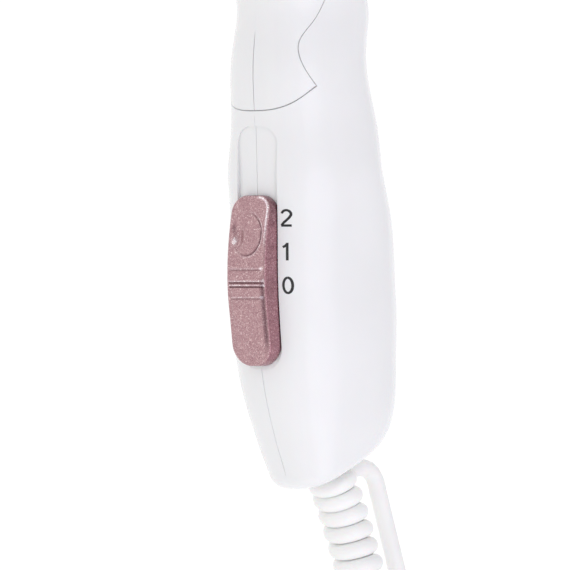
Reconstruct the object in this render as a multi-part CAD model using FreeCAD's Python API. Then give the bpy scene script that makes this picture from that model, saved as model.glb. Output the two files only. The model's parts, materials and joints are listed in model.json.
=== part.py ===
"""Folding hair dryer with a slide switch on the handle and a curly cord.

Design frame (mm): +X towards the nozzle, +Y to the dryer's left, +Z up the handle, with the
origin level with the fold pivot and on the neck's centre line. The finished parts are laid on
their left side, as the dryer rests on a table: rest_place() turns and moves them into the part's
own frame, where +X is still towards the nozzle, the handle points to -Y, and Z = 0 is the table.
"""
import FreeCAD, Part
import math
import os

from FreeCAD import Placement, Rotation, Vector

# --- driving dimensions --------------------------------------------------------------------
wall = 2.2                      # moulded shell thickness
handle_wall = 3.0               # thicker in the handle, which has a recess sunk in it
superellipse = 2.5              # exponent of the grip's cross-section
# grip sections: height, centre in x, half-depth (x), half-width (y)
grip_sections = [
    (-148.0, 7.3, 11.0, 10.0),
    (-141.0, 7.3, 13.2, 11.1),
    (-134.4, 7.3, 15.0, 12.1),
    (-128.8, 7.1, 17.4, 13.5),
    (-123.2, 8.3, 20.9, 15.0),
    (-114.8, 7.8, 23.3, 16.8),
    (-106.4, 6.6, 24.1, 18.0),
    (-86.8, 5.3, 25.0, 18.7),
    (-68.0, 4.3, 24.5, 18.5),
    (-58.8, 2.9, 23.2, 18.9),
    (-51.0, 1.4, 21.9, 19.0),
    (-44.8, 1.2, 21.6, 18.3),
    (-34.2, 0.35, 21.1, 17.0),
    (-12.6, -0.5, 20.0, 15.3),
    (0.0, -1.1, 19.8, 14.8),
    (14.0, -1.3, 20.2, 14.9),
    (25.0, -1.2, 22.0, 16.4),
    (36.0, -1.2, 26.0, 20.0),
]
section_points = 28
end_point = Vector(7.3, 0, -135.3)   # middle of the slanted end face
end_slope = 0.5                      # rise of the end face per mm towards +X
end_fillet = 4.5
gland_x = 10.6                       # middle of the cord's exit in the end face
gland_bore = 4.6
boss_places = [Vector(17.0, 0, -52.0), Vector(14.0, 0, -116.0)]     # screw bosses across the handle
boss_radius = 3.6
boss_reach = 19.0
handle_screw_radius = 1.4
handle_screw_head = 2.7
seam_half = 0.12                     # hairline groove where the two halves of a shell meet
seam_depth = 0.15

pivot = Vector(7.0, 0, 0)
cheek_radius = 13.4             # round top of the handle's two cheeks
joint_gap = 0.3                 # shadow gap between handle and neck
cheek_inner = 7.2               # half-distance between the cheeks
knuckle_radius = 12.6
knuckle_half = 6.6
pin_radius = 2.0
pin_half_length = 12.5
running_clearance = 0.05
front_step = 15.6               # underside of the neck in front of the pivot

# the two faces of the joint line behind the cheeks: tongue side curve, then tongue's lower edge
joint_curve = [(-6.4, 0.0), (-7.7, -4.5), (-10.9, -9.0), (-14.2, -12.6), (-15.7, -15.4),
               (-15.95, -17.6), (-15.3, -21.0), (-13.2, -25.0)]
joint_tip = (-11.5, -27.2)
joint_lower = [(-16.3, -31.0), (-19.7, -33.6), (-26.0, -35.6)]

slide_tilt = 2.1                # degrees, the switch slides along the rear face
recess_half = 7.13
recess_top = -38.4
recess_bottom = -106.6
recess_floor = -18.5            # x of the recess's floor, which runs parallel to the slide
recess_curve = (21.9, 18.1)     # half-depth and half-width of the floor's curve across the handle
recess_corner_top = 5.0
recess_corner_bottom = 6.6
recess_outside = -23.0          # the recess is cut from here, outside the rear face, inwards
recess_inside = -16.0
recess_draft = 0.25             # how much wider the recess is out there
slider_half = 6.85
slider_top = -57.6
slider_bottom = -105.2
slider_corner_top = 4.5
slider_corner_bottom = 6.0
slider_lift = 0.35              # gap under the slider
switch_step = 9.4               # travel from one number to the next
stem_half = 2.6                 # the slider's stem, which passes through a slot in the recess
stem_low = -85.0
stem_high = -78.2
slot_side = 0.5                 # room beside the stem
slot_end = 1.1                  # and beyond it at either end of its travel
slot_corner = 2.0
# face of the slider, height and x
slider_face = [(-57.6, -20.9), (-60.0, -22.2), (-66.0, -23.3), (-73.0, -24.15), (-81.0, -24.5),
               (-87.5, -24.2), (-93.0, -23.2), (-99.5, -22.4), (-105.2, -21.0)]
dish_height = -67.5             # finger dish near the top of the slider
dish_sphere = 22.0
dish_centre = -44.6
ridge_heights = [-80.6, -83.2, -86.6]
ridge_centre = -23.95
ridge_radius = 0.9
ridge_half = 5.6

barrel_axis = 58.0              # height of the barrel's axis
barrel_radius = 32.0
barrel_rear = -44.0
barrel_front = 66.0
ring_rear = -52.0
snout_radius = 24.0
shoulder = 52.0                 # where the barrel steps down to the snout that takes the nozzle
nozzle_front = 104.0
nozzle_root = barrel_front + 2.0
nozzle_tail = shoulder + 0.6    # the nozzle's rear rim, just clear of the barrel's shoulder
nozzle_radius = 26.6
nozzle_wall = 1.6
mouth_half_width = 27.0
mouth_half_height = 5.0
barrel_outline = [(barrel_rear, 30.0), (-40.0, 31.4), (-35.0, barrel_radius), (20.0, barrel_radius),
                  (32.0, 31.2), (44.0, 28.8), (shoulder - 0.5, 26.6), (shoulder, snout_radius),
                  (barrel_front, snout_radius)]
barrel_bore = [(barrel_rear - 1.0, 27.8), (barrel_rear, 27.8), (-40.0, 29.2), (-35.0, barrel_radius - wall),
               (20.0, barrel_radius - wall), (32.0, 29.0), (44.0, 26.6), (shoulder - 3.0, 24.6),
               (shoulder - 2.0, snout_radius - wall), (barrel_front + 1.0, snout_radius - wall)]
barrel_bosses = [Vector(-14.5, 0, 23.0), Vector(14.0, 0, 22.5)]
barrel_screw_radius = 1.3

motor_rear = -26.0
motor_length = 30.0
motor_radius = 12.0
shaft_radius = 1.1
fan_radius = 27.0
fan_blades = 7
heater_rear = 10.0
heater_front = 48.0
heater_radius = 23.0
coil_rings = 6                  # turns of the heating coil
coil_first = 16.0
coil_spacing = 5.6
coil_ring_radius = 18.0

wire_radius = 2.5
coil_radius = 7.0
plug_length = 36.0
plug_pin_radius = 2.4
plug_pin_length = 19.0
plug_pin_spacing = 19.0
plug_tip = 1.0                  # tapered tip of a pin
tie_low = Vector(22.4, -221.0, 0.0)
tie_high = Vector(38.2, -213.0, 7.4)
tie_thickness = 0.8

# the cord beyond the handle, in the part's own frame: the curl's middle, then the plain lead
coil_route = [(-11.8, -112.8, 15.3), (-6.3, -124.2, 14.5), (2.2, -149.4, 14.7), (7.4, -173.0, 9.6),
              (5.6, -199.0, 7.2), (-1.5, -232.0, 7.2), (-9.5, -269.0, 7.2), (-16.0, -307.0, 7.2)]
lead_route = [(-16.0, -307.0, 7.2), (-17.8, -318.0, 5.4), (-14.0, -330.5, 3.0), (-1.5, -338.0, 2.5),
              (11.5, -332.5, 2.5), (17.5, -317.0, 2.5), (19.5, -292.0, 2.5), (22.0, -258.0, 2.5),
              (26.2, -226.0, 3.7), (26.6, -208.0, 3.7), (27.0, -186.0, 2.6), (23.0, -160.0, 2.5),
              (13.4, -136.5, 2.5), (4.8, -118.5, 2.5), (8.6, -109.8, 2.5), (16.5, -107.2, 2.5),
              (22.6, -109.4, 2.5), (24.4, -117.0, 2.5), (28.2, -130.5, 2.5), (34.5, -154.0, 2.5),
              (37.0, -181.0, 2.6), (34.4, -208.0, 3.7), (34.0, -226.0, 3.7), (36.5, -246.0, 3.2),
              (39.5, -262.0, 5.6), (42.5, -276.0, 9.8), (43.5, -288.0, 9.8)]

rest_tilt = 4.9                 # the barrel is thicker than the handle, so the dryer lies tilted
rest_shift = Vector(-24.6, 24.86, 27.05)


# --- general helpers -----------------------------------------------------------------------
def rest_place(shape):
    """Lay a shape on the table: design frame to the part's own frame."""
    turned = shape.copy()
    turned.Placement = Placement(rest_shift, Rotation(Vector(1, 0, 0), rest_tilt - 90.0)).multiply(
        turned.Placement)
    return turned


def rest_point(point):
    place = Placement(rest_shift, Rotation(Vector(1, 0, 0), rest_tilt - 90.0))
    return place.multVec(point)


def cylinder(base, axis, radius, length):
    return Part.makeCylinder(radius, length, base, axis)


def tube(base, axis, outer, inner, length):
    return cylinder(base, axis, outer, length).cut(cylinder(base, axis, inner, length))


def box(low, high):
    size = Vector(*high) - Vector(*low)
    return Part.makeBox(size.x, size.y, size.z, Vector(*low))


def fuse_all(shapes):
    result = shapes[0]
    if len(shapes) > 1:
        result = shapes[0].multiFuse(shapes[1:])
    return result.removeSplitter()


def half_space(sign):
    """The dryer's left (+1) or right (-1) side of the seam."""
    if sign > 0:
        return box((-200, 0.0, -250), (250, 100, 150))
    return box((-200, -100, -250), (250, 0.0, 150))


def revolve_x(profile, height=barrel_axis):
    """Turn a closed outline of (x, radius) points about the barrel's axis."""
    corners = [Vector(x, 0, height + radius) for x, radius in profile]
    face = Part.Face(Part.makePolygon(corners + corners[:1]))
    return face.revolve(Vector(0, 0, height), Vector(1, 0, 0), 360)


# --- grip body -----------------------------------------------------------------------------
def section_wire(height, centre, depth, width):
    points = []
    for step in range(section_points):
        angle = 2.0 * math.pi * step / section_points
        along = abs(math.cos(angle)) / depth
        across = abs(math.sin(angle)) / width
        reach = (along ** superellipse + across ** superellipse) ** (-1.0 / superellipse)
        points.append(Vector(centre + reach * math.cos(angle), reach * math.sin(angle), height))
    curve = Part.BSplineCurve()
    curve.interpolate(Points=points, PeriodicFlag=True)
    return Part.Wire([curve.toShape()])


def grip_body(inset):
    wires = [section_wire(z, x, a - inset, b - inset) for z, x, a, b in grip_sections]
    return Part.makeLoft(wires, True, False)


def end_cutter(inset):
    """Everything below the slanted end face, moved up by inset."""
    slope_angle = math.degrees(math.atan(end_slope))
    block = Part.makeBox(120, 120, 60, Vector(-60, -60, -60))
    block.rotate(Vector(0, 0, 0), Vector(0, 1, 0), -slope_angle)
    block.translate(end_point + Vector(0, 0, inset / math.cos(math.radians(slope_angle))))
    return block


end_normal = Vector(end_slope, 0, -1.0).normalize()


def joint_zone(gap, half_width):
    """The neck's side of the fold joint as seen from the side; the rest is the handle's."""
    radius = cheek_radius + gap
    start = (joint_curve[0][0] - gap, joint_curve[0][1])
    side = [start] + [(x - gap, z) for x, z in joint_curve[1:]]
    tip = (joint_tip[0] - 1.6 * gap, joint_tip[1] + 0.5 * gap)
    lower = [(x - 0.55 * gap, z + 0.83 * gap) for x, z in joint_lower]
    y = -half_width

    def at(point):
        return Vector(point[0], y, point[1])

    side_curve = Part.BSplineCurve()
    side_curve.interpolate(Points=[at(p) for p in side] + [at(tip)],
                           InitialTangent=Vector(0, 0, -1), FinalTangent=Vector(0.6, 0, -0.8))
    lower_curve = Part.BSplineCurve()
    lower_curve.interpolate([at(tip)] + [at(p) for p in lower])
    middle = Vector(pivot.x, y, pivot.z)
    top_angle = math.radians(45.0)
    over_top = middle + Vector(radius * math.cos(top_angle), 0, radius * math.sin(top_angle))
    arc = Part.Arc(middle + Vector(radius, 0, 0), over_top, middle + Vector(0, 0, radius))
    arc_rear = Part.Arc(middle + Vector(0, 0, radius),
                        middle + Vector(-radius * math.cos(top_angle), 0, radius * math.sin(top_angle)),
                        at(start))
    outside = [middle + Vector(radius, 0, 0), Vector(80, y, 0), Vector(80, y, 120),
               Vector(-80, y, 120), Vector(-80, y, at(lower[-1]).z), at(lower[-1])]
    edges = [arc.toShape(), arc_rear.toShape(), side_curve.toShape(), lower_curve.toShape()]
    edges += [Part.LineSegment(a, b).toShape() for a, b in zip(outside, outside[1:])]
    face = Part.Face(Part.Wire(Part.__sortEdges__(edges)))
    return face.extrude(Vector(0, 2.0 * half_width, 0))


def slant(shape):
    """Turn a shape from upright to square with the rear face, along which the switch slides."""
    shape.rotate(Vector(-19, 0, -80), Vector(0, 1, 0), -slide_tilt)
    return shape


def round_outline(x, half_width, low, high, corner_low, corner_high):
    """A rounded rectangle square to X, as one wire."""
    corners = [(1, high, corner_high, 0), (-1, high, corner_high, 90),
               (-1, low, corner_low, 180), (1, low, corner_low, 270)]
    arcs = []
    for side, end, corner, start in corners:
        y = side * (half_width - corner)
        z = end - corner if start < 180 else end + corner
        turns = [math.radians(start + turn) for turn in (0.0, 45.0, 90.0)]
        arcs.append([Vector(x, y + corner * math.cos(a), z + corner * math.sin(a)) for a in turns])
    edges = []
    for index, arc in enumerate(arcs):
        edges.append(Part.Arc(*arc).toShape())
        following = arcs[(index + 1) % 4][0]
        if arc[2].distanceToPoint(following) > 1e-6:
            edges.append(Part.LineSegment(arc[2], following).toShape())
    return Part.Wire(edges)


def round_bar(half_width, low, high, corner_low, corner_high, reach):
    """A rounded rectangle made into a bar square to the rear face, from outside it inwards."""
    face = Part.Face(round_outline(-60.0, half_width, low, high, corner_low, corner_high))
    return slant(face.extrude(Vector(60.0 + reach, 0, 0)))


def recess_bar():
    """The slightly tapered bar that sinks the recess for the switch."""
    wires = [round_outline(x, recess_half + grow, recess_bottom, recess_top, recess_corner_bottom,
                           recess_corner_top)
             for x, grow in ((recess_outside, recess_draft), (recess_inside, 0.0))]
    return slant(Part.makeLoft(wires, True, True))


def slide_rail(crest):
    """A long bar with one cross-section all along the slide, whose rear crest is at x = crest."""
    depth, width = recess_curve
    start = recess_bottom - 5.0
    section = Part.Face(section_wire(start, crest + depth, depth, width))
    return slant(section.extrude(Vector(0, 0, recess_top + 5.0 - start)))


slide_axis = Vector(-math.sin(math.radians(slide_tilt)), 0, math.cos(math.radians(slide_tilt)))

outer_body = grip_body(0.0)
inner_body = grip_body(handle_wall)
neck_inner_body = grip_body(wall)


def seam_groove(side, low, high, sunk):
    """Thin plate outside the grip's rear (-1) or front (+1) line, to cut the groove of a seam."""
    line = [Vector(centre + side * (depth - sunk), -seam_half, z) for z, centre, depth, _ in grip_sections]
    curve = Part.BSplineCurve()
    curve.interpolate(line)
    outside = [line[-1], Vector(side * 60.0, -seam_half, line[-1].z),
               Vector(side * 60.0, -seam_half, line[0].z), line[0]]
    edges = [curve.toShape()] + [Part.LineSegment(a, b).toShape() for a, b in zip(outside, outside[1:])]
    plate = Part.Face(Part.Wire(edges)).extrude(Vector(0, 2.0 * seam_half, 0))
    return plate.common(box((-80, -1, low), (80, 1, high)))


# --- handle --------------------------------------------------------------------------------
def handle_solid():
    body = outer_body.cut(end_cutter(0.0)).Solids[0]
    rim = [edge for edge in body.Edges if edge.BoundBox.ZMax < -120.0 and edge.Length > 60.0]
    body = body.makeFillet(end_fillet, rim)
    return body.cut(joint_zone(0.0, 60.0))


def handle_cavity():
    cavity = inner_body.cut(end_cutter(handle_wall))
    return cavity.common(box((-60, -60, -160), (60, 60, -40)))


def wire_passage():
    """Where the leads run up between the cheeks, behind the pin."""
    return box((-8.0, -4.0, -45.0), (1.5, 4.0, -8.0))


def gland_hole(radius):
    start = gland_point() - end_normal * 25.0
    return cylinder(start, end_normal, radius, 40.0)


def gland_point():
    """Middle of the cord's exit, on the end face."""
    return Vector(gland_x, 0, end_point.z + end_slope * (gland_x - end_point.x))


def handle_shells():
    body = handle_solid().cut(handle_cavity())
    notch = cylinder(pivot - Vector(0, cheek_inner, 0), Vector(0, 1, 0), knuckle_radius + joint_gap,
                     2.0 * cheek_inner)
    notch = notch.fuse(box((-12.0, -cheek_inner, -6.5), (40.0, cheek_inner, 30.0)))
    body = body.cut(notch)
    body = body.cut(wire_passage())
    body = body.cut(recess_bar().cut(slide_rail(recess_floor)))
    slot = round_bar(stem_half + slot_side, stem_low - slot_end, stem_high + 2.0 * switch_step + slot_end,
                     slot_corner, slot_corner, 0.0)
    body = body.cut(slot)
    body = body.cut(gland_hole(gland_bore))
    body = body.cut(cylinder(pivot - Vector(0, pin_half_length, 0), Vector(0, 1, 0), pin_radius,
                             2.0 * pin_half_length))
    across = Vector(0, 1, 0)
    bosses = [cylinder(place - across * boss_reach, across, boss_radius, 2.0 * boss_reach)
              for place in boss_places]
    body = body.multiFuse([boss.common(outer_body) for boss in bosses])
    for place in boss_places:
        body = body.cut(cylinder(place - across * 12.0, across, handle_screw_radius, 19.0))
        body = body.cut(cylinder(place + across * 7.0, across, handle_screw_head + 0.3, 20.0))
    body = body.cut(seam_groove(-1, grip_sections[0][0], joint_lower[-1][1], seam_depth))
    body = body.cut(slanted_box((recess_floor - 1.0, -seam_half, recess_bottom + 2.0),
                                (recess_floor + seam_depth, seam_half, recess_top)))
    body = body.cut(seam_groove(1, grip_sections[0][0], pivot.z - cheek_radius, seam_depth))
    return [body.common(half_space(sign)) for sign in (1, -1)]


def handle_screws():
    screws = []
    for place in boss_places:
        head = cylinder(place + Vector(0, 7, 0), Vector(0, 1, 0), handle_screw_head, 2.2)
        shank = cylinder(place - Vector(0, 11, 0), Vector(0, 1, 0), handle_screw_radius, 18.0)
        cross = box((place.x - 1.5, place.y + 8.0, place.z - 0.35),
                    (place.x + 1.5, place.y + 9.5, place.z + 0.35))
        screws.append(head.fuse(shank).cut(cross).removeSplitter())
    return Part.makeCompound(screws)


def hinge_pin():
    return cylinder(pivot - Vector(0, pin_half_length, 0), Vector(0, 1, 0), pin_radius,
                    2.0 * pin_half_length)


def friction_washers():
    washers = []
    for start in (knuckle_half + 0.05, -cheek_inner + 0.05):
        base = pivot + Vector(0, start, 0)
        washers.append(tube(base, Vector(0, 1, 0), 7.5, pin_radius + 0.1, 0.5))
    return Part.makeCompound(washers)


# --- slide switch --------------------------------------------------------------------------
def switch_slider():
    top = [Vector(x, -30, z) for z, x in slider_face]
    face_curve = Part.BSplineCurve()
    face_curve.interpolate(top)
    back = [top[-1], Vector(0, -30, top[-1].z), Vector(0, -30, top[0].z), top[0]]
    edges = [face_curve.toShape()]
    edges += [Part.LineSegment(a, b).toShape() for a, b in zip(back, back[1:])]
    block = Part.Face(Part.Wire(Part.__sortEdges__(edges))).extrude(Vector(0, 60, 0))
    outline = round_bar(slider_half, slider_bottom, slider_top, slider_corner_bottom, slider_corner_top,
                        -10.0)
    cap = outline.common(block).cut(slide_rail(recess_floor - slider_lift))
    cap = cap.cut(Part.makeSphere(dish_sphere, Vector(dish_centre, 0, dish_height)))
    ridges = [cylinder(Vector(ridge_centre, -ridge_half, height), Vector(0, 1, 0), ridge_radius,
                       2.0 * ridge_half) for height in ridge_heights]
    cap = cap.multiFuse(ridges).removeSplitter()
    stem = slanted_box((-20.0, -stem_half, stem_low), (-14.4, stem_half, stem_high))
    return cap.fuse(stem).removeSplitter()


def slanted_box(low, high):
    return slant(box(low, high))


def switch_carriage():
    return slanted_box((-14.4, -5.0, stem_low - 1.0), (-10.8, 5.0, stem_high + 1.0))


def switch_contact():
    """Bridging spring under the carriage that wipes over the block's terminals."""
    return slanted_box((-10.8, -3.0, -84.5), (-10.4, 3.0, -78.5))


def switch_block():
    body = slanted_box((-9.4, -8.0, -93.0), (0.5, 8.0, -52.0))
    lips = [slanted_box((-14.0, side * 6.8 - 1.0, -93.0), (-9.4, side * 6.8 + 1.0, -52.0))
            for side in (-1, 1)]
    body = body.multiFuse(lips).removeSplitter()
    screw_ears = slanted_box((-6.0, -12.0, -92.0), (-2.0, 12.0, -86.0))
    return body.fuse(screw_ears).removeSplitter()


def switch_terminals():
    tabs = []
    for height in (-90.0, -78.0, -66.0, -56.0):
        tabs.append(slanted_box((0.5, -2.4, height - 0.4), (7.0, 2.4, height + 0.4)))
    return Part.makeCompound(tabs)


# --- cord entry ----------------------------------------------------------------------------
def strain_relief():
    """Tapered bush: flange and stem inside the handle, a short ribbed nose outside."""
    start = gland_point() - end_normal * 20.0
    stem = Part.makeCone(6.6, 4.5, 14.5, start, end_normal)
    neck = cylinder(start + end_normal * 14.5, end_normal, 4.5, 6.0)
    nose = Part.makeCone(4.5, 3.6, 4.0, start + end_normal * 20.5, end_normal)
    bush = stem.multiFuse([neck, nose])
    bush = bush.removeSplitter()
    return bush.cut(cylinder(start, end_normal, wire_radius, 30.0))


def cord_start():
    start = gland_point() - end_normal * 26.0
    return cylinder(start, end_normal, wire_radius, 31.0)


def cord_clamp():
    middle = gland_point() - end_normal * 23.0
    bar = box((-5.0, -9.0, -2.0), (-2.6, 9.0, 2.0))
    saddle = box((2.6, -9.0, -2.0), (4.6, 9.0, 2.0))
    clamp = Part.makeCompound([bar, saddle])
    turn = Rotation(Vector(0, 0, -1), end_normal)
    clamp.Placement = Placement(middle, turn)
    return clamp


def clamp_screws():
    middle = gland_point() - end_normal * 23.0
    turn = Rotation(Vector(0, 0, -1), end_normal)
    screws = []
    for side in (-6.0, 6.0):
        shank = cylinder(Vector(-2.6, side, 0), Vector(1, 0, 0), 1.2, 5.2)
        head = cylinder(Vector(4.6, side, 0), Vector(1, 0, 0), 2.2, 1.6)
        screw = fuse_all([shank, head])
        screw.Placement = Placement(middle, turn)
        screws.append(screw)
    return Part.makeCompound(screws)


def lead_tube(points, radius):
    """A wire of straight runs joined by tangent arcs."""
    return route_tube([Vector(*p) for p in points], radius)[0]


def handle_leads():
    blue = lead_tube([(0.5, 3.2, -110.0), (4.0, 3.2, -103.0), (8.4, 3.2, -97.0), (9.0, 3.2, -90.5)], 0.9)
    brown = lead_tube([(0.5, -3.2, -110.0), (4.6, -3.2, -101.0), (9.2, -3.2, -90.0), (9.2, -3.2, -78.5)],
                      0.9)
    riser = lead_tube([(9.4, 0.0, -66.5), (9.0, 0.0, -56.0), (2.0, 0.0, -46.0), (-3.5, 0.0, -36.0),
                       (-3.5, 0.0, -20.0)], 0.9)
    return Part.makeCompound([blue, brown, riser])


# --- routes --------------------------------------------------------------------------------
def route_tube(points, radius, report=None, share=0.45):
    """Sweep a round wire along straight runs joined by tangent arcs; return solid and length."""
    edges = []
    last = points[0]
    radii = []
    for before, corner, after in zip(points, points[1:], points[2:]):
        back = before - corner
        ahead = after - corner
        turn = math.pi - back.getAngle(ahead)
        reach = share * min(back.Length, ahead.Length)
        bend = reach / math.tan(turn / 2.0)
        radii.append(bend)
        first = corner + Vector(back).normalize() * reach
        second = corner + Vector(ahead).normalize() * reach
        bisector = (Vector(back).normalize() + Vector(ahead).normalize()).normalize()
        centre = corner + bisector * math.hypot(reach, bend)
        middle = centre - bisector * bend
        edges.append(Part.LineSegment(last, first).toShape())
        edges.append(Part.Arc(first, middle, second).toShape())
        last = second
    edges.append(Part.LineSegment(last, points[-1]).toShape())
    spine = Part.Wire(edges)
    start_direction = (points[1] - points[0]).normalize()
    ring = Part.Wire([Part.makeCircle(radius, points[0], start_direction)])
    solid = spine.makePipeShell([ring], True, False)
    if report:
        section = math.pi * radius ** 2
        print(report, "length %.1f" % spine.Length, "tightest %.1f" % min(radii),
              "volume ratio %.4f" % (solid.Volume / (section * spine.Length)),
              "radii", [round(value, 1) for value in radii])
    return solid, spine.Length


# --- barrel --------------------------------------------------------------------------------
def neck_solid():
    neck = outer_body.common(joint_zone(joint_gap, 60.0))
    front = box((pivot.x, -60, -60), (80, 60, front_step))
    neck = neck.cut(front)
    knuckle = cylinder(pivot - Vector(0, knuckle_half, 0), Vector(0, 1, 0), knuckle_radius,
                       2.0 * knuckle_half)
    bridge = box((-5.6, -knuckle_half, 0.0), (pivot.x + 8.0, knuckle_half, 20.0))
    bridge = bridge.common(outer_body)
    return neck.multiFuse([knuckle, bridge]).removeSplitter()


def barrel_seam_groove():
    """Thin plate outside the barrel's top line."""
    line = [Vector(x, -seam_half, barrel_axis + radius - seam_depth) for x, radius in barrel_outline]
    high = barrel_axis + barrel_radius + 10.0
    corners = line + [Vector(line[-1].x, -seam_half, high), Vector(line[0].x, -seam_half, high), line[0]]
    return Part.Face(Part.makePolygon(corners)).extrude(Vector(0, 2.0 * seam_half, 0))


def barrel_shells():
    lower = [(x, 0.0) for x, _ in (barrel_outline[0], barrel_outline[-1])]
    outside = revolve_x([lower[0]] + barrel_outline + [lower[1]])
    inside = revolve_x([(barrel_bore[0][0], 0.0)] + barrel_bore + [(barrel_bore[-1][0], 0.0)])
    hollow = neck_inner_body.common(box((-60, -60, 17.0), (60, 60, 36.0)))
    body = outside.fuse(neck_solid())
    body = body.cut(hollow).cut(inside)
    body = body.cut(cylinder(pivot - Vector(0, 20, 0), Vector(0, 1, 0), pin_radius + running_clearance,
                             40.0))
    body = body.cut(box((-4.5, -3.0, -20.0), (2.0, 3.0, 18.0)))
    bosses = []
    for place in barrel_bosses:
        boss = cylinder(place - Vector(0, 9, 0), Vector(0, 1, 0), 3.0, 18.0)
        bosses.append(boss.common(outer_body.fuse(outside)))
    body = body.multiFuse(bosses)
    for place in barrel_bosses:
        body = body.cut(cylinder(place - Vector(0, 8, 0), Vector(0, 1, 0), barrel_screw_radius, 16.0))
    body = body.cut(seam_groove(-1, joint_lower[-1][1] - 1.0, barrel_axis - barrel_radius, seam_depth))
    for turn in (0.0, 180.0):
        strip = barrel_seam_groove()
        strip.rotate(on_axis(0), Vector(1, 0, 0), turn)
        body = body.cut(strip)
    return [body.common(half_space(sign)) for sign in (1, -1)]


def barrel_screws():
    return Part.makeCompound([cylinder(place - Vector(0, 7.5, 0), Vector(0, 1, 0), barrel_screw_radius, 15.0)
                              for place in barrel_bosses])


def on_axis(x, y=0.0, z=0.0):
    return Vector(x, y, barrel_axis + z)


def rear_ring():
    """Metallic trim ring around the air intake."""
    profile = [(ring_rear, 26.0), (ring_rear, 28.2), (ring_rear + 1.2, 29.2), (barrel_rear - 0.1, 30.0),
               (barrel_rear - 0.1, 27.6), (barrel_rear + 4.0, 27.6), (barrel_rear + 4.0, 26.0)]
    return revolve_x(profile)


def rear_cover():
    """Round intake cover with ring slats; it twists out of the trim ring."""
    rings = []
    for outer in (25.6, 21.6, 17.6, 13.6, 9.6):
        dome = 3.2 * (1.0 - (outer / 25.6) ** 2)
        rings.append(tube(on_axis(ring_rear - dome + 0.4), Vector(1, 0, 0), outer, outer - 2.0, 2.4))
    hub = cylinder(on_axis(ring_rear - 2.8), Vector(1, 0, 0), 5.6, 2.4)
    spokes = []
    for index in range(6):
        spoke = box((ring_rear - 2.8, -1.0, barrel_axis), (ring_rear + 2.8, 1.0, barrel_axis + 25.0))
        spoke.rotate(on_axis(0), Vector(1, 0, 0), 60.0 * index)
        spokes.append(spoke)
    skirt = tube(on_axis(ring_rear + 0.4), Vector(1, 0, 0), 25.6, 23.6, 9.0)
    cover = rings[0].multiFuse(rings[1:] + [hub, skirt] + spokes)
    return cover.removeSplitter()


def filter_mesh():
    disc = cylinder(on_axis(ring_rear + 3.0), Vector(1, 0, 0), 23.4, 0.8)
    holes = []
    pitch = 5.2
    for row in range(-4, 5):
        for column in range(-4, 5):
            y = pitch * (column + 0.5 * (row % 2))
            z = pitch * row * 0.866
            if math.hypot(y, z) < 20.0:
                holes.append(cylinder(on_axis(ring_rear + 2.0, y, z), Vector(1, 0, 0), 1.9, 3.0))
    return disc.cut(Part.makeCompound(holes))


def fan_motor():
    can = cylinder(on_axis(motor_rear), Vector(1, 0, 0), motor_radius, motor_length)
    boss = cylinder(on_axis(motor_rear - 2.0), Vector(1, 0, 0), 4.0, 2.0)
    return can.fuse(boss).removeSplitter().cut(
        cylinder(on_axis(motor_rear - 3.0), Vector(1, 0, 0), shaft_radius + running_clearance, 12.5))


def motor_shaft():
    return cylinder(on_axis(motor_rear - 11.0), Vector(1, 0, 0), shaft_radius, 20.0)


def fan():
    hub_rear = motor_rear - 11.0
    hub = cylinder(on_axis(hub_rear), Vector(1, 0, 0), 9.0, 8.0)
    hub = hub.cut(cylinder(on_axis(hub_rear), Vector(1, 0, 0), shaft_radius, 8.0))
    blades = []
    for index in range(fan_blades):
        blade = box((-4.4, -0.8, 8.0), (4.4, 0.8, fan_radius))
        blade.rotate(Vector(0, 0, 0), Vector(0, 0, 1), 42.0)
        blade.translate(on_axis(hub_rear + 4.0))
        blade.rotate(on_axis(0), Vector(1, 0, 0), 360.0 * index / fan_blades)
        blades.append(blade)
    keep = tube(on_axis(hub_rear - 1.0), Vector(1, 0, 0), fan_radius, 8.0, 10.0)
    wheel = hub.multiFuse([blade.common(keep) for blade in blades])
    return wheel.removeSplitter()


def stator_mount():
    """Motor cradle: inner sleeve, straightening vanes, outer ring held by the housing."""
    sleeve = tube(on_axis(-22.0), Vector(1, 0, 0), motor_radius + 2.0, motor_radius, 22.0)
    ring = tube(on_axis(-22.0), Vector(1, 0, 0), barrel_radius - wall, barrel_radius - wall - 1.6, 18.0)
    vanes = []
    for index in range(6):
        vane = box((-22.0, -0.9, motor_radius + 1.0), (-4.0, 0.9, barrel_radius - wall - 0.6))
        vane.translate(on_axis(0.0))
        vane.rotate(on_axis(0), Vector(1, 0, 0), 60.0 * index + 30.0)
        vanes.append(vane)
    return sleeve.multiFuse([ring] + vanes).removeSplitter()


def rectifier_board():
    board = tube(on_axis(motor_rear + motor_length + 1.0), Vector(1, 0, 0), 11.0, 3.0, 1.4)
    parts = [board]
    for index in range(4):
        diode = cylinder(on_axis(motor_rear + motor_length + 2.4, 7.0), Vector(1, 0, 0), 1.5, 4.0)
        diode.rotate(on_axis(0), Vector(1, 0, 0), 90.0 * index + 45.0)
        parts.append(diode)
    return fuse_all(parts)


def heat_shield():
    return tube(on_axis(heater_rear), Vector(1, 0, 0), heater_radius, heater_radius - 0.6,
                heater_front - heater_rear)


def mica_frame():
    low = heater_rear + 1.0
    high = heater_front - 2.0
    reach = heater_radius - 0.7
    plates = [box((low, -reach, barrel_axis - 0.5), (high, reach, barrel_axis + 0.5)),
              box((low, -0.5, barrel_axis - reach), (high, 0.5, barrel_axis + reach))]
    frame = fuse_all(plates)
    notches = []
    for index in range(coil_rings):
        x = coil_first + coil_spacing * index
        notches.append(tube(on_axis(x - 0.8), Vector(1, 0, 0), 30.0, coil_ring_radius - 0.8, 1.6))
    return frame.cut(Part.makeCompound(notches))


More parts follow.
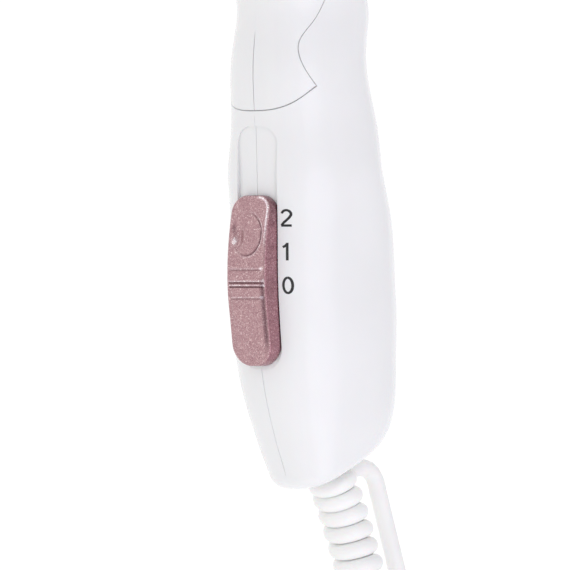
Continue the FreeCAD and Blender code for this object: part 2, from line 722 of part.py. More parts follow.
def heating_coil():
    rings = []
    for index in range(coil_rings):
        x = coil_first + coil_spacing * index
        rings.append(Part.makeTorus(coil_ring_radius, 0.75, on_axis(x), Vector(1, 0, 0)))
    return Part.makeCompound(rings)


def thermostat():
    plate = box((24.0, 3.0, barrel_axis + 0.5), (36.0, 11.0, barrel_axis + 2.9))
    blade = box((27.0, 5.0, barrel_axis + 2.9), (34.0, 9.0, barrel_axis + 3.9))
    return fuse_all([plate, blade])


def thermal_fuse():
    body = cylinder(on_axis(22.0, -8.0, 2.3), Vector(1, 0, 0), 1.8, 10.0)
    wires = cylinder(on_axis(16.0, -8.0, 2.3), Vector(1, 0, 0), 0.5, 22.0)
    return fuse_all([body, wires])


def barrel_leads():
    pair = []
    for side in (-1.6, 1.6):
        pair.append(lead_tube([(-2.0, side, -5.0), (-2.0, side, 12.0), (1.0, side, 22.0),
                               (5.0, side * 1.2, 32.0), (9.2, side * 1.4, 42.0)], 0.9))
    return Part.makeCompound(pair)


def outlet_grille():
    x = shoulder + 6.0
    ring = tube(on_axis(x), Vector(1, 0, 0), snout_radius - wall, snout_radius - wall - 1.3, 5.0)
    rings = [tube(on_axis(x + 1.0), Vector(1, 0, 0), radius, radius - 1.2, 1.6) for radius in (16.0, 10.0)]
    bars = []
    for index in range(4):
        bar = box((x + 1.0, -21.0, barrel_axis - 0.6), (x + 2.6, 21.0, barrel_axis + 0.6))
        bar.rotate(on_axis(0), Vector(1, 0, 0), 45.0 * index)
        bars.append(bar)
    return ring.multiFuse(rings + bars).removeSplitter()


# --- concentrator nozzle -------------------------------------------------------------------
def nozzle_section(x, half_width, half_height, corner):
    """Rounded rectangle square to the barrel's axis, as one wire of lines and arcs."""
    y, z = half_width - corner, half_height - corner
    edges = []
    corners = [(y, z, 0), (-y, z, 90), (-y, -z, 180), (y, -z, 270)]
    points = []
    for cy, cz, angle in corners:
        arc = []
        for turn in (0.0, 45.0, 90.0):
            a = math.radians(angle + turn)
            arc.append(on_axis(x, cy + corner * math.cos(a), cz + corner * math.sin(a)))
        points.append(arc)
    for index, arc in enumerate(points):
        edges.append(Part.Arc(*arc).toShape())
        edges.append(Part.LineSegment(arc[2], points[(index + 1) % 4][0]).toShape())
    return Part.Wire(edges)


def nozzle_loft(inset):
    """From the round snout to the flat mouth."""
    sections = [(nozzle_root, nozzle_radius, nozzle_radius, nozzle_radius - 0.4),
                (nozzle_root + 9.0, 26.0, 22.0, 18.0), (nozzle_root + 22.0, 26.4, 11.5, 9.0),
                (nozzle_front, mouth_half_width, mouth_half_height, 4.2)]
    wires = [nozzle_section(x, w - inset, h - inset, c - inset) for x, w, h, c in sections]
    return Part.makeLoft(wires, True, True)


def nozzle_outer_tail():
    return revolve_x([(nozzle_tail, 0.0), (nozzle_tail, nozzle_radius - 0.6),
                      (nozzle_tail + 1.0, nozzle_radius), (nozzle_root, nozzle_radius), (nozzle_root, 0.0)])


def concentrator_nozzle():
    body = nozzle_outer_tail().fuse(nozzle_loft(0.0)).removeSplitter()
    passage = nozzle_loft(nozzle_wall)
    socket = cylinder(on_axis(nozzle_tail - 1.0), Vector(1, 0, 0), snout_radius + 0.08,
                      barrel_front + 0.6 - nozzle_tail + 1.0)
    throat = cylinder(on_axis(nozzle_root - 3.0), Vector(1, 0, 0), 22.6, 3.2)
    return body.cut(passage).cut(socket).cut(throat)


# --- cord beyond the handle, lying on the table ----------------------------------------------
def as_vectors(points):
    return [Vector(*point) for point in points]


def plug_frame():
    end = Vector(*lead_route[-1])
    run = end - Vector(*lead_route[-2])
    return Placement(end, Rotation(Vector(0, 0, 1), math.degrees(math.atan2(run.y, run.x))))


def plug_body():
    neck = Part.makeCone(3.2, 5.4, 14.0, Vector(0, 0, 0), Vector(1, 0, 0))
    sections = []
    for x, half_width, half_height in ((13.0, 7.0, 5.4), (19.0, 12.5, 8.0), (26.0, 16.5, 9.4),
                                       (plug_length, 18.0, 9.6)):
        ellipse = Part.Ellipse(Vector(x, 0, 0) + Vector(0, half_width, 0),
                               Vector(x, 0, 0) + Vector(0, 0, half_height), Vector(x, 0, 0))
        sections.append(Part.Wire([ellipse.toShape()]))
    body = Part.makeLoft(sections, True, False)
    plug = neck.fuse(body).removeSplitter()
    plug.Placement = plug_frame()
    return plug


def plug_pins():
    pins = []
    for side in (-0.5, 0.5):
        base = Vector(plug_length, side * plug_pin_spacing, 0)
        straight = plug_pin_length - plug_tip
        shank = cylinder(base, Vector(1, 0, 0), plug_pin_radius, straight)
        tip = Part.makeCone(plug_pin_radius, plug_pin_radius - 0.9, plug_tip,
                            base + Vector(straight, 0, 0), Vector(1, 0, 0))
        pin = shank.fuse(tip).removeSplitter()
        pin.Placement = plug_frame()
        pins.append(pin)
    return Part.makeCompound(pins)


def tie_band(inset):
    """The tie's outline, a bar with round sides, drawn in by inset and as much longer."""
    radius = tie_high.z / 2.0 - inset
    length = tie_high.y - tie_low.y + 2.0 * inset
    middles = [tie_low.x + tie_high.z / 2.0, tie_high.x - tie_high.z / 2.0]
    flat = Part.makeBox(middles[1] - middles[0], length, 2.0 * radius,
                        Vector(middles[0], tie_low.y - inset, inset))
    sides = [cylinder(Vector(x, tie_low.y - inset, tie_high.z / 2.0), Vector(0, 1, 0), radius, length)
             for x in middles]
    return flat.multiFuse(sides).removeSplitter()


def cord_tie():
    """Hook-and-loop band round two runs of the cord, which lift a little to pass through it."""
    return tie_band(0.0).cut(tie_band(tie_thickness))


# --- export --------------------------------------------------------------------------------
def export(name, shape):
    solids = shape.Solids
    keep = solids[0] if len(solids) == 1 else Part.makeCompound(solids)
    if not keep.isValid():
        print("NOT VALID", name)
    keep.exportStep(os.path.join("parts", name + ".step"))
    bounds = keep.BoundBox
    print("%-20s solids %d volume %9.1f box %s" % (
        name, len(solids), keep.Volume,
        [round(value, 1) for value in (bounds.XMin, bounds.YMin, bounds.ZMin,
                                       bounds.XMax, bounds.YMax, bounds.ZMax)]))
    return keep


def main():
    os.makedirs("parts", exist_ok=True)
    handle_left, handle_right = handle_shells()
    barrel_left, barrel_right = barrel_shells()
    laid_down = {
        "handle_shell_left": handle_left,
        "handle_shell_right": handle_right,
        "handle_screws": handle_screws(),
        "hinge_pin": hinge_pin(),
        "friction_washers": friction_washers(),
        "switch_slider": switch_slider(),
        "switch_carriage": switch_carriage(),
        "switch_contact": switch_contact(),
        "switch_block": switch_block(),
        "switch_terminals": switch_terminals(),
        "strain_relief": strain_relief(),
        "cord_start": cord_start(),
        "cord_clamp": cord_clamp(),
        "clamp_screws": clamp_screws(),
        "handle_leads": handle_leads(),
        "barrel_shell_left": barrel_left,
        "barrel_shell_right": barrel_right,
        "barrel_screws": barrel_screws(),
        "rear_ring": rear_ring(),
        "rear_cover": rear_cover(),
        "filter_mesh": filter_mesh(),
        "fan_motor": fan_motor(),
        "motor_shaft": motor_shaft(),
        "fan": fan(),
        "stator_mount": stator_mount(),
        "rectifier_board": rectifier_board(),
        "heat_shield": heat_shield(),
        "mica_frame": mica_frame(),
        "heating_coil": heating_coil(),
        "thermostat": thermostat(),
        "thermal_fuse": thermal_fuse(),
        "barrel_leads": barrel_leads(),
        "outlet_grille": outlet_grille(),
        "concentrator_nozzle": concentrator_nozzle(),
    }
    coil, coil_length = route_tube(as_vectors(coil_route), coil_radius, "coil")
    lead, lead_length = route_tube(as_vectors(lead_route), wire_radius, "lead")
    on_table = {"cord_coil": coil, "cord_lead": lead, "plug_body": plug_body(),
                "plug_pins": plug_pins(), "cord_tie": cord_tie()}
    total = None
    for name, shape in laid_down.items():
        placed = export(name, rest_place(shape))
        if name == "cord_start":
            continue
        bounds = placed.optimalBoundingBox(False)
        if total is None:
            total = bounds
        else:
            total.add(bounds)
    for name, shape in on_table.items():
        export(name, shape)
    print("object box", total)
    print("pivot", rest_point(pivot), "gland", rest_point(gland_point()))
    direction = Rotation(Vector(1, 0, 0), rest_tilt - 90.0)
    print("lateral", direction.multVec(Vector(0, 1, 0)), "slide", direction.multVec(slide_axis))
    print("gland axis", direction.multVec(end_normal), "barrel axis point", rest_point(on_axis(0)))
    print("fan point", rest_point(on_axis(motor_rear - 7.0)), "coil", coil_length, "lead", lead_length)


main()
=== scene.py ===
"""Looks of the folding hair dryer: camera, materials, pieces built round the frame, and light."""
import bmesh
import bpy
import json
import math
from mathutils import Matrix, Vector
from mathutils.bvhtree import BVHTree


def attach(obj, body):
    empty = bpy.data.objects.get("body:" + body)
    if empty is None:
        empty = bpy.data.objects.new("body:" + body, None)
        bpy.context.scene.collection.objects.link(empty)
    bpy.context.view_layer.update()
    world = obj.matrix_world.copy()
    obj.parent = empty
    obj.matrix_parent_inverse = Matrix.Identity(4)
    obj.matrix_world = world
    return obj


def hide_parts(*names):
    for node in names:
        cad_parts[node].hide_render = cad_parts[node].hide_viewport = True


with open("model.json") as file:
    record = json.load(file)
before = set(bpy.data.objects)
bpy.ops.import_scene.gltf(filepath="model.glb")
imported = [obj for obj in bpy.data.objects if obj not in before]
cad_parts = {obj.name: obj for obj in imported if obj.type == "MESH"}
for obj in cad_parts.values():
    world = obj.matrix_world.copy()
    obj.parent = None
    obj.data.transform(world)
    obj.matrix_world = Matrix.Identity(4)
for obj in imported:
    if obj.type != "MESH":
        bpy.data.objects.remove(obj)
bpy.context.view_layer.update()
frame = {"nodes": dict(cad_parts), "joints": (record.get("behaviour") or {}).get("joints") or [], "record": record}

MM = 0.001

# --- the dryer's own directions, from the fold joint -----------------------------------------
fold = next(joint for joint in frame["joints"] if joint["name"] == "barrel_fold")
LEFT = Vector(fold["axis"]).normalized()       # the fold's axis, to the dryer's left
FORWARD = Vector((1.0, 0.0, 0.0))              # towards the nozzle
UP = FORWARD.cross(LEFT).normalized()          # up the handle
PIVOT_AHEAD = 7.0                              # mm from the neck's centre line to the pivot
neck_centre = Vector(fold["pos_m"]) - FORWARD * PIVOT_AHEAD * MM


def at(x, y, z):
    """A point of the design frame (mm: ahead, left, up) in the row frame (metres)."""
    return neck_centre + (FORWARD * x + LEFT * y + UP * z) * MM


def put(name, body, mesh_or_curve, material):
    """A new object with its material, riding on a body."""
    piece = bpy.data.objects.new(name, mesh_or_curve)
    bpy.context.scene.collection.objects.link(piece)
    mesh_or_curve.materials.append(material)
    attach(piece, body)
    return piece


# --- camera ----------------------------------------------------------------------------------
VIEW_ROUND = math.radians(50.0)     # the view's turn from the dryer's right side to its rear
VIEW_MIDDLE = -82.6                 # mm up the handle
VIEW_SHIFT = 4.8                    # mm to the left in the picture
FIELD = 159.6                       # mm across the picture
LENS = 800.0
SENSOR = 36.0

to_camera = -FORWARD * math.sin(VIEW_ROUND) - LEFT * math.cos(VIEW_ROUND)
picture_right = UP.cross(to_camera)
camera_data = bpy.data.cameras.new("camera")
camera_data.lens = LENS
camera_data.sensor_width = SENSOR
camera_data.clip_start = 0.05
camera_data.clip_end = 100.0
camera = bpy.data.objects.new("camera", camera_data)
bpy.context.scene.collection.objects.link(camera)
picture_centre = at(0, 0, VIEW_MIDDLE) - picture_right * VIEW_SHIFT * MM
distance = FIELD * MM * LENS / SENSOR
turn = Matrix((picture_right, UP, to_camera)).transposed().to_4x4()
camera.matrix_world = Matrix.Translation(picture_centre + to_camera * distance) @ turn
bpy.context.scene.camera = camera


# --- materials -------------------------------------------------------------------------------
PAINTED_LIGHT_ATTRIBUTE = "tone_and_painted_light"                       # colour attribute of painted shade and painted highlights that a mesh's paint is multiplied by
NOISE_LOW, NOISE_HIGH = 0.3, 0.7    # the part of a noise's range that is spread over a surface
SUBSURFACE_DEPTH = 2.0 * MM
MOTTLE_SCALE = 60.0                 # this and the other scales: cells to a metre
POLISH_SCALE = 220.0
PEEL_DEPTH = 0.05 * MM
TARNISH_SCALE = 90.0
LINE_SCALE = 900.0
LINE_DEPTH = 0.03 * MM
FLAKE_SCALE = 4600.0
FLAKE_COLOURS = [(0.0, (0.325, 0.17, 0.19)), (0.4, (0.44, 0.255, 0.27)),
                 (0.85, (0.53, 0.335, 0.34)), (1.0, (0.86, 0.68, 0.66))]
FLAKE_ROUGHNESS = (0.24, 0.42)
FLAKE_DEPTH = 0.04 * MM
CLOUD_SCALE = 420.0
MIX_A, MIX_B, MIX_RESULT = 6, 7, 2  # the colour sockets of a Mix node


class Shader:
    """One Principled material and short ways to add nodes to it."""

    def __init__(self, name):
        self.material = bpy.data.materials.new(name)
        self.material.use_nodes = True
        self.tree = self.material.node_tree
        self.main = self.tree.nodes["Principled BSDF"]
        self.coordinates = self.tree.nodes.new("ShaderNodeTexCoord")

    def node(self, kind, **values):
        """A new node, with values for its sockets or its settings."""
        made = self.tree.nodes.new(kind)
        for key, value in values.items():
            if key in made.inputs:
                made.inputs[key].default_value = value
            else:
                setattr(made, key, value)
        return made

    def link(self, source, target):
        self.tree.links.new(source, target)

    def constant(self, **values):
        """Values of the Principled node's own sockets, with _ for a space in a name."""
        for key, value in values.items():
            self.main.inputs[key.replace("_", " ")].default_value = value

    def noise(self, scale, detail=3.0, roughness=0.5, stretch=(1.0, 1.0, 1.0)):
        mapping = self.node("ShaderNodeMapping")
        mapping.inputs["Scale"].default_value = stretch
        self.link(self.coordinates.outputs["Object"], mapping.inputs["Vector"])
        made = self.node("ShaderNodeTexNoise", Scale=scale, Detail=detail, Roughness=roughness)
        self.link(mapping.outputs["Vector"], made.inputs["Vector"])
        return made.outputs["Fac"]

    def cells(self, scale):
        made = self.node("ShaderNodeTexVoronoi", Scale=scale)
        self.link(self.coordinates.outputs["Object"], made.inputs["Vector"])
        return made

    def ramp(self, source, stops):
        made = self.node("ShaderNodeValToRGB")
        elements = made.color_ramp.elements
        while len(elements) < len(stops):
            elements.new(0.5)
        for element, (place, colour) in zip(elements, stops):
            element.position = place
            element.color = (*colour, 1.0)
        self.link(source, made.inputs["Fac"])
        return made.outputs["Color"]

    def mottle(self, scale, dark, light, detail=3.0, roughness=0.5):
        """Soft patches between two colours."""
        noise = self.noise(scale, detail, roughness)
        return self.ramp(noise, [(NOISE_LOW, dark), (NOISE_HIGH, light)])

    def spread(self, source, low, high, source_low=NOISE_LOW, source_high=NOISE_HIGH):
        """The source's range turned into low to high."""
        made = self.node("ShaderNodeMapRange")
        made.inputs["From Min"].default_value = source_low
        made.inputs["From Max"].default_value = source_high
        made.inputs["To Min"].default_value = low
        made.inputs["To Max"].default_value = high
        self.link(source, made.inputs["Value"])
        return made.outputs["Result"]

    def bump(self, height, strength, distance):
        made = self.node("ShaderNodeBump", Strength=strength, Distance=distance)
        self.link(height, made.inputs["Height"])
        return made.outputs["Normal"]


def moulded_plastic(name, dark, light, rough, grain, bump_strength, specular=0.5, subsurface=0.0):
    """Moulded plastic: slight mottling, uneven polish and a fine orange-peel skin."""
    shader = Shader(name)
    shader.link(shader.mottle(MOTTLE_SCALE, dark, light), shader.main.inputs["Base Color"])
    shader.link(shader.spread(shader.noise(POLISH_SCALE, 4.0), *rough),
                shader.main.inputs["Roughness"])
    peel = shader.bump(shader.noise(grain, 2.0), bump_strength, PEEL_DEPTH)
    shader.link(peel, shader.main.inputs["Normal"])
    shader.constant(IOR=1.5, Specular_IOR_Level=specular, Subsurface_Weight=subsurface,
                    Subsurface_Scale=SUBSURFACE_DEPTH)
    return shader.material


def worked_metal(name, dark, light, rough, stretch=(1.0, 1.0, 12.0)):
    """Drawn or stamped metal with fine lines and patchy tarnish."""
    shader = Shader(name)
    shader.link(shader.mottle(TARNISH_SCALE, dark, light), shader.main.inputs["Base Color"])
    lines = shader.noise(LINE_SCALE, 2.0, stretch=stretch)
    shader.link(shader.spread(lines, *rough), shader.main.inputs["Roughness"])
    shader.link(shader.bump(lines, 0.15, LINE_DEPTH), shader.main.inputs["Normal"])
    shader.constant(Metallic=1.0)
    return shader.material


def metallic_paint(name, with_painted_light=False):
    """Mauve paint with fine bright flakes; on a mesh that carries it, a colour attribute of painted shade and
    painted highlights multiplies the paint.
    """
    shader = Shader(name)
    cells = shader.cells(FLAKE_SCALE)
    separate = shader.node("ShaderNodeSeparateColor")
    shader.link(cells.outputs["Color"], separate.inputs["Color"])
    paint = shader.ramp(separate.outputs["Red"], FLAKE_COLOURS)
    # random tone patches, and on the slider also the attribute of painted shade and painted highlights
    tone_and_painted_light_factors = [shader.mottle(CLOUD_SCALE, (0.9, 0.87, 0.9), (1.0, 1.0, 1.0), 4.0, 0.6)]
    if with_painted_light:
        tone_and_painted_light_factors.append(shader.node("ShaderNodeAttribute", attribute_name=PAINTED_LIGHT_ATTRIBUTE).outputs["Color"])
    for tone_and_painted_light in tone_and_painted_light_factors:
        mix = shader.node("ShaderNodeMix", data_type="RGBA", blend_type="MULTIPLY")
        mix.inputs["Factor"].default_value = 1.0
        shader.link(paint, mix.inputs[MIX_A])
        shader.link(tone_and_painted_light, mix.inputs[MIX_B])
        paint = mix.outputs[MIX_RESULT]
    shader.link(paint, shader.main.inputs["Base Color"])
    polish = shader.spread(separate.outputs["Green"], *FLAKE_ROUGHNESS, 0.0, 1.0)
    shader.link(polish, shader.main.inputs["Roughness"])
    sparkle = shader.bump(separate.outputs["Blue"], 0.2, FLAKE_DEPTH)
    shader.link(sparkle, shader.main.inputs["Normal"])
    shader.constant(Metallic=0.7, IOR=1.5, Coat_Weight=0.3, Coat_Roughness=0.22)
    return shader.material


def woven_tape():
    """White hook-and-loop tape."""
    shader = Shader("tie_fabric")
    wave = shader.node("ShaderNodeTexWave", Scale=900.0, Distortion=1.5)
    shader.link(shader.coordinates.outputs["Object"], wave.inputs["Vector"])
    threads = shader.ramp(wave.outputs["Fac"],
                          [(0.2, (0.66, 0.66, 0.68)), (0.8, (0.86, 0.86, 0.87))])
    shader.link(threads, shader.main.inputs["Base Color"])
    shader.link(shader.bump(wave.outputs["Fac"], 0.5, 0.2 * MM), shader.main.inputs["Normal"])
    shader.link(shader.spread(shader.noise(500.0), 0.75, 0.95), shader.main.inputs["Roughness"])
    shader.constant(Sheen_Weight=0.4, Sheen_Roughness=0.5)
    return shader.material


materials = {
    "shell_white": moulded_plastic("shell_white", (0.80, 0.80, 0.805), (0.82, 0.82, 0.825),
                                   (0.16, 0.24), 1500.0, 0.05, 0.5, 0.05),
    "accent_mauve": metallic_paint("accent_mauve"),
    "black_plastic": moulded_plastic("black_plastic", (0.02, 0.02, 0.022), (0.045, 0.045, 0.05),
                                     (0.4, 0.6), 2500.0, 0.3),
    "grille_grey": moulded_plastic("grille_grey", (0.09, 0.09, 0.095), (0.14, 0.14, 0.147),
                                   (0.38, 0.55), 3000.0, 0.35),
    "screw_steel": worked_metal("screw_steel", (0.5, 0.5, 0.5), (0.66, 0.66, 0.66), (0.25, 0.4)),
    "motor_steel": worked_metal("motor_steel", (0.42, 0.42, 0.44), (0.6, 0.6, 0.61), (0.3, 0.5),
                                (12.0, 1.0, 1.0)),
    "pin_metal": worked_metal("pin_metal", (0.66, 0.66, 0.65), (0.8, 0.8, 0.79), (0.12, 0.25)),
    "brass": worked_metal("brass", (0.6, 0.42, 0.18), (0.78, 0.6, 0.3), (0.25, 0.45)),
    "nichrome": worked_metal("nichrome", (0.22, 0.19, 0.18), (0.4, 0.36, 0.34), (0.4, 0.6)),
    "mica": moulded_plastic("mica", (0.5, 0.44, 0.34), (0.72, 0.66, 0.55), (0.3, 0.5), 700.0, 0.2),
    "circuit_board": moulded_plastic("circuit_board", (0.03, 0.16, 0.07), (0.06, 0.24, 0.11),
                                     (0.2, 0.35), 900.0, 0.15),
    "lead_insulation": moulded_plastic("lead_insulation", (0.24, 0.11, 0.06), (0.34, 0.17, 0.1),
                                       (0.45, 0.6), 1800.0, 0.2),
    "cord_white": moulded_plastic("cord_white", (0.84, 0.84, 0.83), (0.88, 0.88, 0.87),
                                  (0.34, 0.46), 1400.0, 0.12, 0.45, 0.15),
    "plug_white": moulded_plastic("plug_white", (0.83, 0.83, 0.83), (0.87, 0.87, 0.87),
                                  (0.3, 0.42), 1700.0, 0.15),
    "tie_fabric": woven_tape(),
    "number_black": moulded_plastic("number_black", (0.012, 0.012, 0.013), (0.02, 0.02, 0.021),
                                    (0.35, 0.5), 2500.0, 0.1),
}

slider_paint_with_painted_light = metallic_paint("slider_paint_with_painted_light", with_painted_light=True)  # the slider's cap alone carries painted shade and painted highlights

for entry in frame["record"]["subparts"]:
    node = frame["nodes"][entry["node"]]
    node.data.materials.clear()
    node.data.materials.append(materials[entry["material_slot"]])


# --- cord ------------------------------------------------------------------------------------
WIRE = 5.0                          # mm, wire diameter
CURL_RADIUS = 4.5                   # mm, middle of the wire
CURL_PITCH = 5.1                    # mm
CURL_STEPS = 14                     # control points in each turn
CURL_START = 1.2                    # mm outside the end face
CURL_PHASE = math.radians(335.0)
CURL_LEAN = 0.12                    # the turns lean, higher on the right of the first view
EASE_IN = 0.45                      # turns over which the helix opens
EASE_OUT = 0.8                      # and closes
UNEVEN = ((0.012, 0.37), (0.008, 2.3))  # shares of the radius, and how fast each comes and goes
GLAND = (10.6, 0.0, -133.65)        # cord exit on the slanted end face, design frame
END_SLOPE = 0.5                     # of the end face's axis, ahead for each mm down
INSIDE = (20.0, 12.0, 5.0)          # mm behind the end face, where the wire comes from
ROUTE_RESOLUTION = 24               # steps between control points
CORD_RESOLUTION = 6

# the routes of part.py, in mm of the row frame; the curl's first three points are up to 0.9 mm off
coil_route = [(-10.9, -112.8, 15.3), (-5.4, -124.2, 14.5), (2.8, -149.4, 14.7), (7.4, -173.0, 9.6),
              (5.6, -199.0, 7.2), (-1.5, -232.0, 7.2), (-9.5, -269.0, 7.2), (-16.0, -307.0, 7.2)]
lead_route = [(-16.0, -307.0, 7.2), (-17.8, -318.0, 5.4), (-14.0, -330.5, 3.0), (-1.5, -338.0, 2.5),
              (11.5, -332.5, 2.5), (17.5, -317.0, 2.5), (19.5, -292.0, 2.5), (22.0, -258.0, 2.5),
              (26.2, -226.0, 3.7), (26.6, -208.0, 3.7), (27.0, -186.0, 2.6), (23.0, -160.0, 2.5),
              (13.4, -136.5, 2.5), (4.8, -118.5, 2.5), (8.6, -109.8, 2.5), (16.5, -107.2, 2.5),
              (22.6, -109.4, 2.5), (24.4, -117.0, 2.5), (28.2, -130.5, 2.5), (34.5, -154.0, 2.5),
              (37.0, -181.0, 2.6), (34.4, -208.0, 3.7), (34.0, -226.0, 3.7), (36.5, -246.0, 3.2),
              (39.5, -262.0, 5.6), (42.5, -276.0, 9.8), (43.5, -288.0, 9.8)]


def nurbs_curve(name, points, radius, resolution):
    """One open NURBS spline of order 3 with those control points (metres)."""
    data = bpy.data.curves.new(name, "CURVE")
    data.dimensions = "3D"
    data.resolution_u = resolution
    spline = data.splines.new("NURBS")
    spline.points.add(len(points) - 1)
    for target, point in zip(spline.points, points):
        target.co = (*point, 1.0)
    spline.order_u = 3
    spline.use_endpoint_u = True
    data.bevel_depth = radius
    data.bevel_resolution = 5
    data.use_fill_caps = radius > 0.0
    return data


def route_points(points):
    """The route's smooth line, read from its own NURBS spline."""
    line = bpy.data.objects.new("route", nurbs_curve("route", points, 0.0, ROUTE_RESOLUTION))
    bpy.context.scene.collection.objects.link(line)
    bpy.context.view_layer.update()
    smooth = line.evaluated_get(bpy.context.evaluated_depsgraph_get())
    mesh = bpy.data.meshes.new_from_object(smooth)
    found = [vertex.co.copy() for vertex in mesh.vertices]
    bpy.data.objects.remove(line)
    bpy.data.meshes.remove(mesh)
    return found


def walk(points, step):
    """Places and directions along a line of points, step metres apart."""
    places = []
    travelled = 0.0
    due = 0.0
    for start, end in zip(points, points[1:]):
        run = (end - start).length
        while due <= travelled + run + 1e-9:
            share = (due - travelled) / run if run else 0.0
            places.append((start.lerp(end, share), (end - start).normalized()))
            due += step
        travelled += run
    return places


def curl_points():
    """Control points of the curly stretch: a helix about the smooth line of its route."""
    start = gland + gland_axis * CURL_START * MM
    line = route_points([start] + [Vector(p) * MM for p in coil_route])
    places = walk(line, CURL_PITCH * MM / CURL_STEPS)
    control_radius = CURL_RADIUS * MM / math.cos(math.pi / CURL_STEPS)
    points = []
    side = picture_right.copy()
    last = len(places) - 1
    for index, (centre, ahead) in enumerate(places):
        side = (side - ahead * side.dot(ahead)).normalized()
        front = side.cross(ahead)
        if front.dot(to_camera) < 0:
            front = -front
        angle = CURL_PHASE - 2.0 * math.pi * index / CURL_STEPS
        from_start = min(1.0, index / (EASE_IN * CURL_STEPS))
        from_end = min(1.0, (last - index) / (EASE_OUT * CURL_STEPS))
        ease = from_start * (2.0 - from_start) * from_end * (2.0 - from_end)
        loose = 1.0
        for amount, rate in UNEVEN:
            loose += amount * math.sin(rate * index / CURL_STEPS)
        reach = control_radius * ease * loose
        lean = ahead * math.cos(angle) * CURL_LEAN * reach
        points.append(centre + (side * math.cos(angle) + front * math.sin(angle)) * reach - lean)
    return points


gland = at(*GLAND)
gland_axis = (FORWARD * END_SLOPE - UP).normalized()
inside = [gland - gland_axis * depth * MM for depth in INSIDE]
cord_line = inside + curl_points() + [Vector(p) * MM for p in lead_route[1:]]
cord = put("cord", "handle", nurbs_curve("cord", cord_line, 0.5 * WIRE * MM, CORD_RESOLUTION),
           materials["cord_white"])
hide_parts("cord_start", "cord_coil", "cord_lead")


# --- surface of the handle, for what is fitted to it or printed on it ------------------------
RAY_START = -60.0                   # x of a place behind the whole handle, design frame
RECESS_RIM = 6.6                    # mm from the seam, just inside the rim of the slider's recess


def node_tree(*names):
    """A search tree over the faces of CAD nodes."""
    vertices, faces = [], []
    for name in names:
        mesh = frame["nodes"][name].data
        offset = len(vertices)
        vertices += [vertex.co.copy() for vertex in mesh.vertices]
        faces += [[offset + index for index in polygon.vertices] for polygon in mesh.polygons]
    return BVHTree.FromPolygons(vertices, faces)


handle_tree = node_tree("handle_shell_left", "handle_shell_right")


def on_handle(y, z, lift):
    """The point lift mm off the handle's rear, at that height and distance from the seam."""
    place, normal, _, _ = handle_tree.ray_cast(at(RAY_START, y, z), FORWARD)
    return place + normal * lift * MM


def recess_at(y, z):
    """x of the recess's floor, or of the handle where there is no recess, in the design frame."""
    inside_rim = math.copysign(min(abs(y), RECESS_RIM), y)
    distance_in = handle_tree.ray_cast(at(RAY_START, inside_rim, z), FORWARD)[3]
    return RAY_START + distance_in / MM


# --- slider of the switch --------------------------------------------------------------------
# All in mm of the design frame, unless a line says otherwise. A strength says how much of the painted shade or of
# the painted highlight the paint takes.
SLIDER_TOP = -57.6
SLIDER_BOTTOM = -105.2
SLIDER_HALF = 6.95
CORNER_TOP = 4.5
CORNER_BOTTOM = 6.0
EDGE_RADIUS = 0.8
SLIDER_GAP = 0.3                    # between the wall's foot and the recess
FACE_GRID = (120, 440)              # quads across the face and along it
EVENNESS = (0.5, 0.4)               # 1 for evenly spaced lines, less to crowd them at the edges
WALL_RINGS = (0.15, 0.3, 0.45, 0.6, 0.8, 1.0)   # shares of the way down the wall
RELIEF_START = 0.35                 # from the outline in to where the face's details are whole
# z and x along the middle of the face
slider_face = [(-105.2, -21.5), (-98.8, -22.6), (-92.4, -23.5), (-87.1, -24.3), (-82.6, -24.7),
               (-77.5, -24.75), (-72.8, -24.5), (-66.4, -23.7), (-61.9, -22.8), (-57.6, -21.6)]
CROWN = 0.1                         # how much lower the face is at its sides
DISH_PLACE = -68.6
DISH_HALF = (5.2, 6.0)
DISH_SHELF = 0.2                    # step at the dish's lower right edge
STEP_TOWARDS = math.radians(-22.0)  # where round the dish its step is crispest
STEP_NARROWING = 0.62               # how fast the step fades away from there
STEP_GROOVE = (0.965, 0.06, 0.45)   # place and half-width as shares of the dish, and depth in mm
STEP_PAINTED_SHADE = (0.97, 0.075)         # painted shade in the groove: place and half-width
STEP_PAINTED_HIGHLIGHT = (1.06, 0.05, 0.3)        # painted highlight round it: place, half-width, strength
SCOOP_PLACE = (3.0, -69.4)
SCOOP_HALF = (2.4, 4.6)
SCOOP_DEPTH = 1.05
# ribs: place, height, half-length, half-length of the painted shade and highlight on it, strength of that painted
# light
RIBS = ((-78.1, 0.17, 5.3, 5.4, 0.4), (-86.1, 0.17, 5.3, 5.4, 0.4),
        (-81.6, 0.3, 5.9, 5.9, 0.85), (-82.75, 0.3, 5.9, 5.9, 0.85))
RIB_HALF = 0.42                     # half-width, and also the way down to the groove below
RIB_GROOVE = (0.3, 1.3)             # half-width, and depth as a share of the rib's height
RIB_END = 0.7                       # over which a rib fades out
RIB_PAINTED_LIGHT = (0.35, 0.4, 0.5)        # half-widths of its painted shade line and painted highlight line, the latter's share
RIB_END_PAINTED_HIGHLIGHT = (0.95, 0.75)         # painted highlight at its right end: half-sizes
RIB_HIGHLIGHT_OUT = 0.2                  # from the end of the rib's painted light to the highlight's middle
LOWER_EDGE = 1.0                    # from the outline in to the groove inside the lower edge
LOWER_GROOVE = (1.1, 0.35)          # that groove's half-width and depth
LOWER_ENDS = ((-102.5, -97.0), (-84.0, -78.0))  # z over which it starts and ends
LOWER_PAINTED_SHADE = 0.95                  # strength of the painted shade in it
RIGHT_SIDE = (1.0, 4.0)             # from the seam, over which the painted shade and highlights that lie on the right side alone start
DISH_PAINTED_SHADE = ((4.9, -66.9), (1.2, 2.1), 0.75)   # painted shade spot on the dish: place, size, strength
DISH_PAINTED_HIGHLIGHT = ((4.6, -70.4), (1.1, 1.5), 0.8)    # painted highlight spot below it
RIM_PAINTED_HIGHLIGHT = (0.62, 0.5, 0.9)        # painted highlight line inside the outline: way in, half-width, strength
